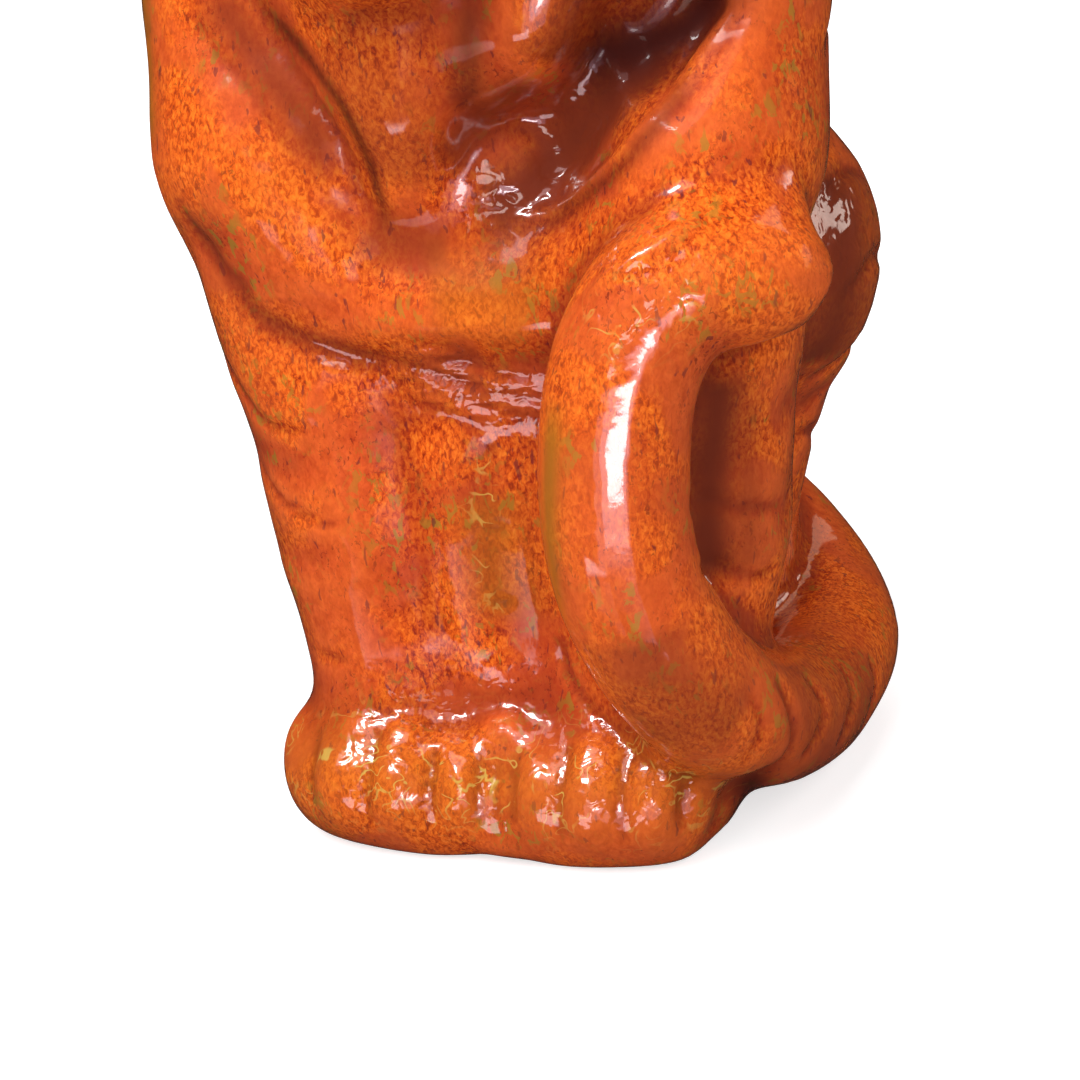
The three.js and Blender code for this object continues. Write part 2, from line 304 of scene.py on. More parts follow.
soften([(41, -43, 122), (37, -46, 116), (33, -47.5, 111), (27, -47.5, 104)], 6.0, 20)
look_again()
carve([(46, -36, 132), (42.5, -38, 127.6), (39.5, -39.7, 123.9), (35.6, -42, 118.5), (33, -47, 114),
       (26.8, -47, 107.7), (20.2, -43.6, 101.8), (13.9, -40.6, 98.4), (8.3, -37.6, 95.4)], -0.8, 1.3, 0.15)
carve([(42.2, -37.1, 126.8), (38.3, -35.7, 123.3), (35.3, -41.1, 118.4), (33, -46.9, 114), (26.8, -47.2, 107.7),
       (20.5, -44.3, 102), (13.8, -40.3, 98.3)], 0.9, 1.2, 0.15, True)
carve([(39.5, -40.5, 122), (34, -46, 115), (27.4, -47.5, 109), (20.8, -44.6, 103.5), (14, -42.5, 99.5)],
      -0.8, 0.9, 0.15, True)
look_again()

# Wet folds under the breast
for knots, height in (([(-11.4, -45, 79.8), (-6, -45, 78), (-1.6, -44, 76.6), (5, -43.3, 74.6), (12, -43, 73.4)], 1.1),
                      ([(-12.5, -43.8, 76.8), (-7, -43.9, 75.6), (-1.6, -43.1, 73.4), (5.1, -42.8, 71.9),
                        (11.1, -42.5, 70.2)], 1.2),
                      ([(-9.9, -43.9, 74.2), (-4.4, -42.8, 72.2), (1, -42.6, 70.2), (7, -42.4, 68.9)], 0.9),
                      ([(-9.5, -44.8, 81.6), (-4.5, -44.8, 80), (0.5, -44.6, 79.4)], 0.8)):
    carve(knots, -height, 1.0, 0.4)

# Forelegs
carve([(2, -43, 72), (1, -42.5, 60), (0.5, -42.5, 46), (1, -43, 30)], 0.5, 4.0, 0.2)
carve([(-42, -36, 78), (-39.8, -39.4, 74.9), (-36.5, -42.2, 70.5), (-33.3, -43.8, 67.9), (-28.2, -45.2, 67.3),
       (-23, -45.3, 67.8)], 0.7, 1.1, 0.35)
carve([(-37.5, -38, 60), (-35.3, -41.4, 57.5), (-32, -43.9, 55.5), (-28.6, -45.4, 54.3), (-24.5, -46.2, 53.3),
       (-20.5, -46.1, 52.5)], 0.9, 0.9, 0.3, True)
for up in (64.2, 51.7, 40.2):
    carve([(0.3, -42.5, up), (2.3, -42.5, up + 0.1), (4.2, -42.5, up)], 1.1, 0.8, 0.3, True)
look_again()

# Paws
KNUCKLES = ((-14, -47.8, 21.4), (-8.2, -49, 20.2), (1.2, -46, 22), (16.5, -48.6, 20.6), (-22, -46.2, 19.5))
carve([(38.5, -38, 15), (38, -42, 9), (37, -42, 4)], 2.4, 4.5, 0.0)
soften([(-32, -47, 12), (-22, -52, 12), (-10, -53.5, 12), (3, -52, 12), (14, -53.5, 12), (26, -52.5, 12), (33, -48, 12)],
       8.0, 12)
soften([(-26, -47, 20), (-12, -48, 20), (3, -45, 20), (16, -48, 20), (28, -47, 20)], 6.0, 10)
carve([(35.6, -41, 14), (35.4, -41.2, 9), (35.2, -41.2, 3)], 1.6, 1.2, 0.0)
look_again()
for side, front, depth in ((-29.3, -49.5, 0.6), (-18, -51.2, 0.7), (-8.3, -51.2, 0.8), (13.3, -51.4, 0.7),
                           (22.4, -51.6, 0.7), (31.6, -49, 1.4)):
    carve([(side, front + 4.5, 20), (side, front + 1.2, 17), (side, front - 0.6, 12.5), (side, front - 0.8, 7)],
          depth, 1.1, 0.3)
for knuckle in KNUCKLES:
    carve([knuckle, (knuckle[0] + 0.6, knuckle[1], knuckle[2])], -0.7, 2.3, 0.0)
carve([(-1.4, -47, 19), (-1.4, -50, 14), (-1.2, -50.5, 8)], 0.6, 0.9, 0.3)
carve([(5.2, -47, 19), (5.4, -50, 14), (5.2, -50.5, 8)], 0.6, 0.9, 0.3)
carve([(-29.5, -41.8, 30.5), (-26.8, -43.4, 30.4), (-22.9, -44.5, 30.6)], 0.5, 1.0, 0.35)
look_again()

# Tail and the leg inside its loop
soften([(25, -58.9, 89.8), (31.5, -57.3, 95.8), (34.9, -55.5, 98.4), (39, -52, 101), (42.1, -48.3, 102.2),
        (45.6, -45.8, 101.9), (49.2, -41.3, 100)], 4.0, 25)
carve([(25, -58.3, 90.6), (29.3, -58.4, 94), (33.5, -57.6, 96.9), (37.3, -55.8, 98.9), (40.6, -53.2, 100.4)],
      -0.8, 1.2, 0.2)
look_again()
for knots, depth in (([(44.1, -43.6, 31.6), (45.9, -40.2, 24), (39.7, -36.4, 12.7)], 1.0),
                     ([(44.2, -29.3, 26.1), (46.8, -26.4, 19.5), (44.2, -34.6, 14.2)], 0.9),
                     ([(44.3, -10.2, 20.6), (47.1, -11.1, 15.2), (46.4, -20.1, 11.1)], 0.9),
                     ([(45.5, 2.7, 16.7), (47, 3.4, 11.5), (45.9, -4.7, 6.8)], 0.9),
                     ([(42.4, -52.2, 32.4), (43.7, -49.2, 25.9), (40, -49.1, 19.4)], 0.5)):
    carve(knots, depth, 1.3, 0.3)
for knots in ([(36.4, -53, 60.1), (37.5, -38.2, 55.3), (39.5, -27.4, 52.7)],
              [(37.3, -53.2, 50.6), (37, -36.4, 44.4), (38.7, -28.1, 43.2)]):
    carve(knots, 0.8, 1.3, 0.2)
carve([(11, -42.5, 36), (12.8, -43.3, 28.8), (17.5, -45.2, 24.1), (24.4, -48.4, 19.5), (32, -48.5, 16.2)],
      0.9, 0.9, 0.1, True)
look_again()

# Face
EYE_SIDE = 14.2
EYE_UP = 170.0
for turn in range(0, 360, 30):
    angle, next_angle = math.radians(turn), math.radians(turn + 32)
    for side in (-1, 1):
        carve(on_face([(side * (EYE_SIDE + 7.6 * math.cos(a)), EYE_UP + 6.6 * math.sin(a)) for a in (angle, next_angle)]),
              0.45, 1.7, 0.0)
look_again()


def on_both_cheeks(spots):
    """The same route on both sides of the face."""
    return [on_face([(side * across, up) for across, up in spots]) for side in (-1, 1)]


for spots, depth, width, ends in (
        ([(7.2, 167.4), (9.6, 171.8), (13.6, 174.6), (18.2, 174.4), (22.3, 171.2)], -1.1, 1.1, 0.15),
        ([(7.2, 167.4), (10.5, 165.2), (14.6, 164.6), (19.0, 166.4), (22.3, 171.2)], -0.8, 1.0, 0.15),
        ([(8.0, 167.0), (6.6, 163.6), (6.9, 159.5)], 0.8, 1.1, 0.3),
        ([(4.0, 176.5), (8.5, 180.0), (15.5, 181.5), (23.0, 178.0)], -1.1, 3.2, 0.25),
        ([(5.4, 176.0), (5.0, 170.0), (5.2, 164.5)], 0.6, 1.5, 0.3),
        ([(2.2, 158.6), (4.0, 157.6), (5.6, 158.8)], 1.3, 0.9, 0.3),
        ([(7.0, 161.5), (5.6, 157.2), (2.4, 155.6), (0.0, 154.8)], 1.0, 0.9, 0.15),
        ([(0.0, 149.0), (3.6, 146.4), (8.8, 145.8), (13.6, 148.0), (17.6, 152.0)], 1.7, 1.2, 0.12),
        ([(2.0, 142.6), (6.0, 143.0), (10.0, 144.2)], -0.7, 1.6, 0.3),
        ([(20.5, 163.0), (26.0, 159.5), (31.5, 153.5)], 1.1, 1.3, 0.25),
        ([(20.5, 158.0), (25.5, 153.0), (29.5, 146.5)], 1.1, 1.3, 0.25),
        ([(19.0, 152.5), (23.0, 146.5), (25.5, 140.0)], 1.1, 1.3, 0.25),
        ([(26.5, 174.0), (31.0, 170.0), (34.0, 164.0)], 1.0, 1.3, 0.3),
        ([(27.0, 181.5), (32.0, 178.0), (35.0, 172.0)], 1.0, 1.3, 0.3),
        ([(3.0, 185.0), (8.5, 184.2), (14.0, 187.0), (18.0, 190.5)], 0.9, 1.2, 0.25),
        ([(2.6, 190.0), (7.5, 190.2), (12.0, 193.5)], 0.9, 1.2, 0.25),
        ([(22.5, 195.5), (24.5, 200.0), (25.5, 204.0)], 0.7, 0.9, 0.3),
        ([(27.0, 194.5), (28.5, 199.0), (28.5, 203.5)], 0.7, 0.9, 0.3)):
    for route in on_both_cheeks(spots):
        carve(route, depth, width, ends)
carve(on_face([(0, 154.8), (0, 149.4)]), 1.1, 0.9, 0.1)
carve(on_face([(-6.8, 162.4), (0, 163.6), (6.8, 162.4)]), 0.5, 0.9, 0.2)
for across, up in ((6.5, 152.6), (9.5, 153.6), (12.5, 154.4), (7.5, 150.0), (10.5, 150.8)):
    for route in on_both_cheeks([(across, up), (across + 0.7, up)]):
        carve(route, 0.6, 0.75, 0.0)
look_again()

# Back and flanks
carve(on_back([(0, 56), (0, 80), (0, 110), (0, 140), (0, 168)]), 0.9, 2.6, 0.15)
for up in range(58, 182, 12):
    for side in (-1, 1):
        reach = 30 if up < 150 else 24
        spots = [(3.5, up), (11, up + 2.5), (20, up + 1), (reach, up - 4)]
        carve(on_back([(side * across, height) for across, height in spots]), 1.0, 1.4, 0.3)
for side in (-1, 1):
    for spots in ([(-8, 92), (2, 96), (12, 93)], [(-6, 78), (5, 82), (16, 79)], [(-2, 64), (9, 67), (20, 63)],
                  [(0, 50), (10, 52), (20, 48)], [(-26, 132), (-18, 136), (-9, 134)], [(-27, 118), (-18, 122), (-8, 120)]):
        carve(on_flank(side, spots), 0.9, 1.4, 0.3)
look_again()

# The tiger, glazed
# An orange-red lustre glaze covers the whole figure. It ran while it was hot: it broke to bright
# orange threads on the swells, and gathered brown and purple in the cuts and hollows. Brown and
# near-black are also painted as shade where the figure lies in shade, gold lines are painted glints,
# and olive along the shoulder's and the tail's edges is painted sheen.
def hollowness(passes):
    """How far each skin point lies below a smoothed copy of the skin, in millimetres."""
    worn = skin.copy()
    for _ in range(passes):
        worn += (neighbours(worn) - worn) * 0.8
    return ((worn - skin) * facing).sum(1)


def record_on_skin(name, values):
    """Keeps one number a skin point as an attribute that the glaze reads."""
    layer = tiger.data.attributes.new(name, "FLOAT", "POINT")
    layer.data.foreach_set("value", np.asarray(values, np.float32))


def brush(layer, knots, width, strength=1.0, ends=0.15):
    """Brushes a value along a route into a layer of one number a skin point: glaze colour, painted shade, glints or
    sheen, gloss or ripple.
    """
    near, distance, _, pressure = stroke_reach(knots, width, ends)
    layer[near] = np.maximum(layer[near], strength * np.exp(-(distance / width) ** 2) * pressure)


fine_hollow = hollowness(6)
broad_hollow = hollowness(70)
pooled_glaze_and_painted_shade = np.zeros(len(skin))
# Painted shadow: near-black in the hollow under the jaw, where the head shades the breast.
brush(pooled_glaze_and_painted_shade, [(42, -36, 133), (34.9, -38.5, 125.2), (28, -38.9, 122), (24, -39, 121)], 6.0, 1.0, 0.0)
brown_glaze_and_painted_shade = np.zeros(len(skin))
brush(brown_glaze_and_painted_shade, [(10, -50, 132), (8.3, -49, 127), (6.6, -47, 121), (4.7, -43, 115), (3, -37, 109)], 3.4, 0.7)
brush(brown_glaze_and_painted_shade, [(-42, -45.5, 103), (-37.8, -43.6, 93), (-31.8, -44.5, 85), (-21, -44.4, 80), (-10, -43.6, 78)], 2.6, 0.5)
# Painted shade: brown in the hollow under the jaw and under the bib's lobes (this stroke and the next three).
brush(brown_glaze_and_painted_shade, [(31, -36, 123), (27, -39, 117), (22.5, -39, 112), (16, -37, 106.5), (10, -40.5, 102), (3, -42.5, 99.5)],
      7.0, 1.0, 0.1)
brush(brown_glaze_and_painted_shade, [(-3, -43, 107), (3, -42, 112), (10, -44, 114), (17, -45, 117)], 4.5, 0.85)
brush(brown_glaze_and_painted_shade, [(23, -45, 134), (21, -46, 126), (18, -46, 120)], 5.5, 0.8)
brush(brown_glaze_and_painted_shade, [(-8, -49, 134), (-6, -50, 124), (-6, -48, 112), (-7.5, -45, 104)], 13.0, 0.42, 0.1)
brush(brown_glaze_and_painted_shade, [(-13, -43.5, 98), (-9.5, -43.6, 95.8), (0, -43.7, 94.3)], 4.0, 0.5)
brush(brown_glaze_and_painted_shade, [(2, -43, 68), (1, -42.5, 56), (1, -42.5, 44), (2, -43, 34)], 4.0, 0.35)
# Painted shade: brown over the haunch, which lies in shade behind the arm.
brush(brown_glaze_and_painted_shade, [(46, -5, 100), (47, -5, 90), (46.5, -6, 77), (44.5, -8, 64)], 11.0, 0.95, 0.1)
brush(brown_glaze_and_painted_shade, [(-11, -45, 80), (-5, -44, 77), (3, -43, 74.5), (12, -43, 72)], 4.0, 0.4)
# Painted shade: brown on the leg inside the tail's loop (this stroke and the next).
brush(brown_glaze_and_painted_shade, [(38, -41.5, 77), (36.5, -41, 66), (35, -41.5, 54), (35, -41, 44)], 5.5, 1.0, 0.1)
brush(brown_glaze_and_painted_shade, [(41, -38.8, 73), (39.7, -37.2, 59), (38.8, -36.8, 44)], 3.5, 0.55, 0.1)
# Painted shade: brown on the tail's low front, which faces down (this stroke and the next).
brush(brown_glaze_and_painted_shade, [(31, -62, 45), (33, -61.5, 37), (38, -57.5, 31), (42, -52, 27)], 8.0, 0.6, 0.1)
brush(brown_glaze_and_painted_shade, [(38.4, -57.8, 36), (36, -59, 30), (30, -60, 27), (24, -56, 26)], 8.0, 0.55, 0.1)
brush(brown_glaze_and_painted_shade, [(43, -46, 22), (46, -30, 17), (46, -12, 13), (46, 6, 10)], 8.0, 0.38, 0.15)
brush(brown_glaze_and_painted_shade, [(-35, -42, 134), (-27.5, -43.5, 123), (-23, -44, 117.5), (-19, -44.5, 112), (-16, -44.5, 105)], 4.0, 0.7)
dull = np.zeros(len(skin))
for knots, width, strength in (
        ([(-40, -41, 136), (-29.5, -45, 121), (-21, -46, 110), (-16, -45, 102)], 7.5, 1.0),
        ([(-38, -45, 124), (-31, -46, 110), (-20, -46, 100), (-8, -46, 95), (6, -46, 93)], 9.0, 0.95),
        ([(-46, -38, 126), (-44, -40, 112), (-42, -42, 100)], 7.0, 0.8),
        ([(4, -51, 132), (1, -50, 122), (-3, -49, 114)], 8.0, 1.0),
        ([(-5, -51, 134), (-3.5, -51, 125), (-5, -50, 113)], 6.0, 1.0),
        ([(26.5, -64.8, 54), (27.5, -64.6, 48), (29, -63.5, 42)], 6.0, 0.92),
        ([(-17, -45, 108), (-13, -45, 101)], 5.0, 1.0),
        ([(44, -40, 126), (39, -44, 118), (33, -47.5, 112), (27, -48, 104)], 7.0, 0.95),
        ([(46, -43, 112), (49, -41, 103)], 8.0, 1.0),
        ([(52, -48, 98), (54, -47, 92)], 6.0, 0.9),
        ([(-22, -45, 76), (-18, -44.7, 63), (-18, -44.7, 52), (-17, -44.5, 42), (-14, -44, 31)], 10.0, 1.0),
        ([(0, -42.5, 64), (1, -42.5, 50), (0, -42.3, 31)], 9.0, 1.0),
        ([(-34, -45, 100), (-24, -46.5, 92), (-10, -46, 86), (2, -46, 84.5), (14, -47, 84)], 5.5, 1.0),
        ([(-12, -44, 75), (-10, -43.5, 62), (-9.5, -43.3, 46), (-10, -43.3, 33)], 6.0, 1.0),
        ([(44, -37, 134), (36, -36.5, 126), (29, -36.5, 122), (22, -38.5, 119)], 7.0, 0.92),
        ([(9, -50, 132), (8.2, -49.7, 125), (7, -47.5, 118)], 5.0, 0.9),
        ([(-19, -44, 31), (-10, -43, 27), (-4, -42, 32)], 5.0, 0.9),
        ([(-4, -43.5, 21), (-0.5, -43.8, 23)], 3.0, 0.85),
        ([(9, -43.8, 24.5), (12.5, -44.3, 23)], 3.0, 0.85),
        ([(-36, -44, 14), (-38, -38, 16)], 7.0, 0.9)):
    brush(dull, knots, width, strength, 0.05)
still = np.zeros(len(skin))
brush(still, [(-35, -42, 134), (-27.5, -43.5, 123), (-23, -44, 117.5), (-19, -44.5, 112), (-16, -44.5, 105)], 5.0)
brush(still, [(-43, -38, 128), (-44, -38, 116), (-42, -42, 106)], 5.0)
brush(still, [(-30, -42, 50), (-28, -43, 40), (-26, -44, 30)], 6.0)
brush(still, [(28, -64, 75), (27, -65, 60), (28, -64, 48), (33, -60, 36)], 6.0, 0.8)
for side in (-1, 1):
    brush(pooled_glaze_and_painted_shade, on_face([(side * (EYE_SIDE - 0.6), EYE_UP), (side * (EYE_SIDE + 0.6), EYE_UP)]), 2.1, 1.0, 0.0)
brush(pooled_glaze_and_painted_shade, on_face([(-4.5, 159.5), (0, 158.5), (4.5, 159.5)]), 2.6, 0.8, 0.0)
mossy_spots = np.zeros(len(skin))
olive_glaze_and_painted_sheen = np.zeros(len(skin))
# Painted sheen: olive along the outer edge of the tiger's right shoulder, where the glaze reflects at a grazing angle.
brush(olive_glaze_and_painted_sheen, [(-47.6, -36, 136), (-48.4, -37.4, 122), (-47.2, -41, 109)], 3.6, 0.8)
brush(olive_glaze_and_painted_sheen, [(-4, -47, 88), (5, -46.5, 89), (14, -46.9, 85)], 6.5, 0.38)
brush(olive_glaze_and_painted_sheen, [(1, -43, 58), (2.7, -42.6, 47), (2, -42.3, 37)], 6.0, 0.36)
brush(olive_glaze_and_painted_sheen, [(-30, -47, 15), (-10, -51, 15), (10, -51, 15), (33, -48, 15)], 8.0, 0.28, 0.0)
# Painted sheen: olive along the tail's left-hand edge as seen from the front.
brush(olive_glaze_and_painted_sheen, [(20.5, -62, 78), (19.8, -62.4, 69), (18.7, -62.3, 60), (18.2, -61.2, 51), (19, -57, 42)], 2.4, 0.85)
for knots, width in (([(12, -47, 86), (18, -47.5, 89), (25, -56, 93)], 4.0),
                     ([(30, -57, 99), (38, -55, 102), (44, -50, 104)], 3.5),
                     ([(-27, -46, 18), (-23, -47.5, 21), (-18, -46, 26)], 4.0),
                     ([(-3, -42.5, 40), (-1.5, -42.3, 34), (2, -42.3, 30)], 4.5),
                     ([(1, -43, 66), (2, -43, 58), (3, -43, 50)], 3.0),
                     ([(47, -41.5, 116), (48, -41, 108)], 3.0),
                     ([(-16, -45, 66), (-14, -44.5, 52), (-12, -44.3, 40)], 5.0),
                     ([(4, -50, 16), (6, -52, 12)], 3.0)):
    brush(mossy_spots, knots, width, 0.9)
bright = np.zeros(len(skin))
brush(bright, [(-27, -47, 112), (-22, -47, 102), (-15, -46, 96), (-5, -45, 94)], 5.0, 0.8)
brush(bright, [(36, -60, 90), (44, -52, 92)], 6.0, 0.6)
brush(bright, [(-28, -46, 16), (-10, -50, 16), (10, -50, 16), (28, -49, 16)], 5.0, 0.5)
# Painted glints: thin gold lines on the paws, between the forelegs and over the tail's arch stand for the lustre's
# squiggly reflections.
painted_gold_glints = np.zeros(len(skin))
brush(painted_gold_glints, [(-30, -47, 15), (-10, -51, 15), (10, -51, 15), (33, -48, 15)], 7.0, 1.0, 0.0)
brush(painted_gold_glints, [(2, -43, 64), (2, -43, 52), (3, -43, 38)], 3.5, 0.8)
brush(painted_gold_glints, [(26, -60.5, 87), (33.8, -60.1, 91.2), (41, -56, 93)], 5.5, 0.9)
runny = np.zeros(len(skin))
brush(runny, [(24, -60, 85), (32, -60, 92), (40, -55, 94), (47, -48, 92)], 6.0, 0.8)
brush(runny, [(45, -2, 99), (48, -3, 88), (47, -6, 78)], 9.0, 0.9)
brush(runny, [(-30, -47, 14), (-10, -51, 14), (10, -51, 14), (33, -48, 14)], 8.0, 1.0, 0.0)
brush(runny, [(-24, -46, 23), (-10, -46, 23), (4, -44, 23), (16, -46, 23)], 5.0, 1.0, 0.0)
brush(runny, [(22, -40, 114), (14, -37, 105), (4, -35, 99)], 5.0, 1.0, 0.0)
brush(runny, [(-12, -44, 78), (0, -43, 74), (12, -43, 72)], 5.0, 1.0, 0.0)
brush(pooled_glaze_and_painted_shade, [(-26, -42, 131), (-19, -48, 122.4), (-13, -50, 116), (-10.7, -48, 106), (-9, -43.3, 97)], 1.3, 0.8)
brush(pooled_glaze_and_painted_shade, [(38, -40.5, 120), (34, -46.5, 113), (28.5, -47.7, 107), (23.5, -45.8, 103.5), (18, -43, 100.5),
               (14, -43, 97)], 1.5, 0.55)
# Painted shadow: near-black beside the outer toe of the tiger's left paw, under the tail.
brush(pooled_glaze_and_painted_shade, [(36.5, -35, 12), (35.9, -35, 8), (34.5, -34, 2)], 4.0, 0.9, 0.0)
brush(pooled_glaze_and_painted_shade, [(9.6, -50, 134), (8.7, -50, 128), (7.6, -49, 121), (5.6, -44, 114)], 2.4, 0.36)
record_on_skin("fine_hollow", np.clip(fine_hollow / 0.16, 0, 1))
record_on_skin("fine_crest", np.clip(-fine_hollow / 0.12, 0, 1))
record_on_skin("broad_hollow", np.clip(broad_hollow / 1.5, 0, 1))
record_on_skin("pooled_glaze_and_painted_shade", pooled_glaze_and_painted_shade)
record_on_skin("brown_glaze_and_painted_shade", brown_glaze_and_painted_shade)
record_on_skin("still", still)
record_on_skin("olive_glaze_and_painted_sheen", olive_glaze_and_painted_sheen)
record_on_skin("mossy_spots", mossy_spots)
record_on_skin("bright", bright)
record_on_skin("runny", runny)
record_on_skin("dull", dull)
record_on_skin("painted_gold_glints", painted_gold_glints)

glaze = bpy.data.materials.new("lustre_glaze")
glaze.use_nodes = True
nodes = glaze.node_tree.nodes
links = glaze.node_tree.links
shader = nodes["Principled BSDF"]


def add_node(kind, sockets=None, **settings):
    """Adds a node, sets it, and gives each named or numbered input a value or a link."""
    added = nodes.new(kind)
    for name, value in settings.items():
        setattr(added, name, value)
    for name, value in (sockets or {}).items():
        if isinstance(value, bpy.types.NodeSocket):
            links.new(value, added.inputs[name])
        else:
            added.inputs[name].default_value = value
    return added


def ramp(factor, *stops):
    """A colour ramp from stops given as place and colour."""
    added = add_node("ShaderNodeValToRGB", {"Fac": factor})
    elements = added.color_ramp.elements
    while len(elements) < len(stops):
        elements.new(1.0)
    for element, (position, colour) in zip(elements, stops):
        element.position = position
        element.color = (*colour, 1.0) if len(colour) == 3 else colour
    return added.outputs["Color"]


def blend_colour(factor, first, second, how="MIX"):
    """Lays one colour over another by a factor."""
    added = add_node("ShaderNodeMix", data_type="RGBA", blend_type=how, clamp_factor=True)
    for socket, value in ((added.inputs[0], factor), (added.inputs[6], first), (added.inputs[7], second)):
        if isinstance(value, bpy.types.NodeSocket):
            links.new(value, socket)
        elif isinstance(value, (int, float)):
            socket.default_value = value
        else:
            socket.default_value = (*value, 1.0)
    return added.outputs[2]


def calculate(how, *values):
    added = add_node("ShaderNodeMath", dict(enumerate(values)), operation=how, use_clamp=False)
    return added.outputs[0]


def between(value, low, high):
    """Runs from nothing at one value to one at another, smoothly."""
    added = add_node("ShaderNodeMapRange", {"Value": value, "From Min": low, "From Max": high},
                     interpolation_type="SMOOTHSTEP")
    return added.outputs["Result"]


def skin_value(name):
    return add_node("ShaderNodeAttribute", attribute_name=name).outputs["Fac"]


def cloud(place, size, detail=2.0, roughness=0.5, distortion=0.0):
    """Cloudy noise whose patches are about so many millimetres across."""
    added = add_node("ShaderNodeTexNoise", {"Vector": place, "Scale": 1.0 / size, "Detail": detail,
                                            "Roughness": roughness, "Distortion": distortion})
    return added.outputs["Fac"]


millimetres = add_node("ShaderNodeMapping", {"Vector": add_node("ShaderNodeTexCoord").outputs["Object"],
                                             "Scale": (1000, 1000, 1000)}).outputs["Vector"]
run_down = add_node("ShaderNodeMapping", {"Vector": millimetres, "Scale": (1, 1, 0.62)}).outputs["Vector"]

threads = cloud(run_down, 0.68, 3.0, 0.62, 0.6)
orange = ramp(threads,
              (0.34, (0.25, 0.020, 0.004)),
              (0.42, (0.50, 0.052, 0.005)),
              (0.50, (0.68, 0.098, 0.008)),
              (0.58, (0.80, 0.150, 0.012)),
              (0.70, (0.90, 0.230, 0.020)))
calm = ramp(cloud(run_down, 1.3, 3.0, 0.55, 0.6),
            (0.35, (0.48, 0.053, 0.012)),
            (0.65, (0.65, 0.096, 0.021)))
calmness = between(cloud(millimetres, 17, 2.0, 0.5, 0.6), 0.44, 0.58)
calmness = calculate("MAXIMUM", calmness, skin_value("still"))
body = blend_colour(calculate("MULTIPLY", calmness, 0.85), orange, calm)

deep_zone = between(cloud(millimetres, 26, 2.0, 0.5), 0.50, 0.64)
body = blend_colour(calculate("MULTIPLY", deep_zone, 0.40), body, (0.40, 0.034, 0.009))

body = blend_colour(calculate("MULTIPLY", skin_value("bright"), 0.45), body, ramp(
    threads, (0.40, (0.62, 0.080, 0.006)), (0.60, (0.95, 0.260, 0.020))))
flecks = between(cloud(run_down, 0.6, 2.0, 0.6, 0.8), 0.585, 0.66)
fleck_zone = between(cloud(millimetres, 9, 2.0, 0.5), 0.44, 0.60)
body = blend_colour(calculate("MULTIPLY", calculate("MULTIPLY", flecks, fleck_zone), 0.70), body,
                    (0.15, 0.016, 0.008))

olive = between(cloud(run_down, 1.8, 3.0, 0.6, 0.8), 0.55, 0.61)
olive_zone = between(cloud(millimetres, 13, 2.0, 0.5), 0.50, 0.66)
olive_share = calculate("MAXIMUM", olive_zone, skin_value("mossy_spots"))
body = blend_colour(calculate("MULTIPLY", calculate("MULTIPLY", olive, olive_share), 0.8), body,
                    (0.29, 0.17, 0.020))

streaks = add_node("ShaderNodeMapping", {"Vector": millimetres, "Location": (31, 7, 3),
                                         "Scale": (1, 1, 0.35)}).outputs["Vector"]
purple = between(cloud(streaks, 1.1, 2.0, 0.5, 0.4), 0.66, 0.71)
body = blend_colour(calculate("MULTIPLY", purple, 0.7), body, (0.10, 0.012, 0.020))

in_cut = skin_value("fine_hollow")
in_hollow = skin_value("broad_hollow")
body = blend_colour(calculate("MULTIPLY", in_hollow, 0.30), body, (0.26, 0.022, 0.009))
body = blend_colour(calculate("MULTIPLY", in_cut, 0.45), body, (0.20, 0.022, 0.008))
body = blend_colour(calculate("MULTIPLY", skin_value("fine_crest"), 0.25), body, (0.86, 0.18, 0.03))
# Brown glaze, and painted shade where it is brushed into the hollow under the jaw, the haunch, the loop and the tail's
# low part.
body = blend_colour(skin_value("brown_glaze_and_painted_shade"), body, (0.17, 0.026, 0.010))
# Olive glaze, and painted olive sheen along the shoulder's and the tail's edges.
body = blend_colour(skin_value("olive_glaze_and_painted_sheen"), body, (0.36, 0.13, 0.010))
# Near-black: glaze pooled in the eyes, nose and cuts, and painted shadow under the jaw and beside the tiger's left
# paw.
body = blend_colour(skin_value("pooled_glaze_and_painted_shade"), body, (0.045, 0.007, 0.005))
# Painted glints: thin gold lines wherever the glint layer is brushed.
squiggle = calculate("ABSOLUTE", calculate("SUBTRACT", cloud(millimetres, 3.6, 1.0, 0.5, 0.8), 0.5))
gold_glint_lines = calculate("MULTIPLY", between(squiggle, 0.035, 0.010), between(cloud(millimetres, 5, 1.0), 0.48, 0.58))
body = blend_colour(calculate("MULTIPLY", calculate("MULTIPLY", gold_glint_lines, skin_value("painted_gold_glints")), 0.8), body,
                    (0.60, 0.40, 0.08))
links.new(body, shader.inputs["Base Color"])
shader.inputs["Roughness"].default_value = 0.42
shader.inputs["Specular IOR Level"].default_value = 0.04
shader.inputs["Specular Tint"].default_value = (1.0, 0.74, 0.76, 1)
links.new(calculate("SUBTRACT", 1.0, skin_value("dull")), shader.inputs["Coat Weight"])
shader.inputs["Coat Roughness"].default_value = 0.08
shader.inputs["Coat IOR"].default_value = 1.5

ripple = cloud(millimetres, 6.5, 1.0, 0.4, 0.3)
pimple = cloud(millimetres, 1.6, 2.0, 0.5)
runs = calculate("MULTIPLY", calculate("MULTIPLY", cloud(millimetres, 2.6, 1.0, 0.4, 0.8), skin_value("runny")), 1.7)
relief = calculate("ADD", calculate("ADD", ripple, runs), calculate("MULTIPLY", pimple, 0.10))
rippled = add_node("ShaderNodeBump", {"Height": relief, "Strength": 0.35, "Distance": 0.0006}).outputs["Normal"]
links.new(rippled, shader.inputs["Normal"])
links.new(rippled, shader.inputs["Coat Normal"])

